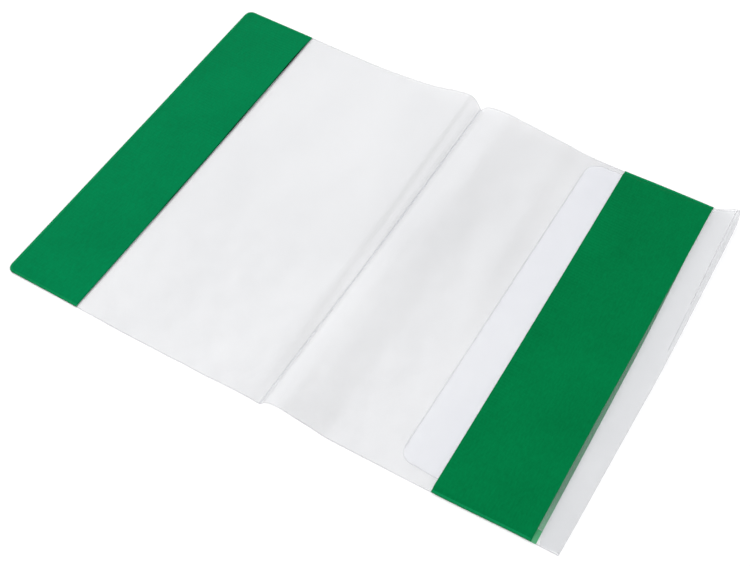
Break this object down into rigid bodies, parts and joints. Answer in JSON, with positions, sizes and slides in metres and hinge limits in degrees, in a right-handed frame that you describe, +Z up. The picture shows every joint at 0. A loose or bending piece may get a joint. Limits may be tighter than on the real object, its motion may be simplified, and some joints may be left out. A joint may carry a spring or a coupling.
{
  "type": "adjustable slip-on book jacket",
  "caption": "Clear film book jacket lying open, with a green front pocket and a green rear sleeve that holds an adjustable turned-in tongue.",
  "frame": {"origin": "middle of the spine crease, on the underside of the open jacket", "axes": "+X across the open jacket from the spine towards the rear sleeve, +Y along the spine, +Z up from the surface it lies on"},
  "size_m": [0.3515, 0.255, 0.0039],
  "materials": {
    "clear_film": "clear, faintly frosted",
    "green_film": "finely embossed satin",
    "green_weld": "heat-welded edge"
  },
  "bodies": {
    "back": {"back_panel": "clear_film", "spine_crease": "clear_film", "sleeve_inner_strip": "green_film", "sleeve_outer_strip": "green_film", "board_weld_top": "green_weld", "board_weld_bottom": "green_weld", "sleeve_weld_top": "green_weld", "sleeve_weld_bottom": "green_weld"},
    "front": {"front_panel": "clear_film", "front_pocket_strip": "green_film", "front_pocket_weld_edge": "green_weld", "front_pocket_weld_top": "green_weld", "front_pocket_weld_bottom": "green_weld"},
    "turn_in": {"turn_in_lower_leaf": "clear_film", "turn_in_leg_lower": "clear_film", "turn_in_bend_lower": "clear_film", "turn_in_bend_upper": "clear_film", "turn_in_leg_upper": "clear_film", "turn_in_upper_leaf": "clear_film"},
    "tongue": {"turn_in_tongue": "clear_film"}
  },
  "joints": [
    {"name": "spine_fold", "type": "hinge", "parent": "back", "child": "front", "pos_m": [0, 0, 0.0003], "axis": [0, 1, 0], "range_deg": [0, 175]},
    {"name": "turn_in_slide", "type": "slide", "parent": "back", "child": "turn_in", "axis": [1, 0, 0], "range_m": [0, 0.025]},
    {"name": "tongue_slide", "type": "slide", "parent": "turn_in", "child": "tongue", "axis": [1, 0, 0], "range_m": [0, 0.025]}
  ],
  "couplings": [
    {"joint": "tongue_slide", "follows": "turn_in_slide", "ratio": 1}
  ]
}
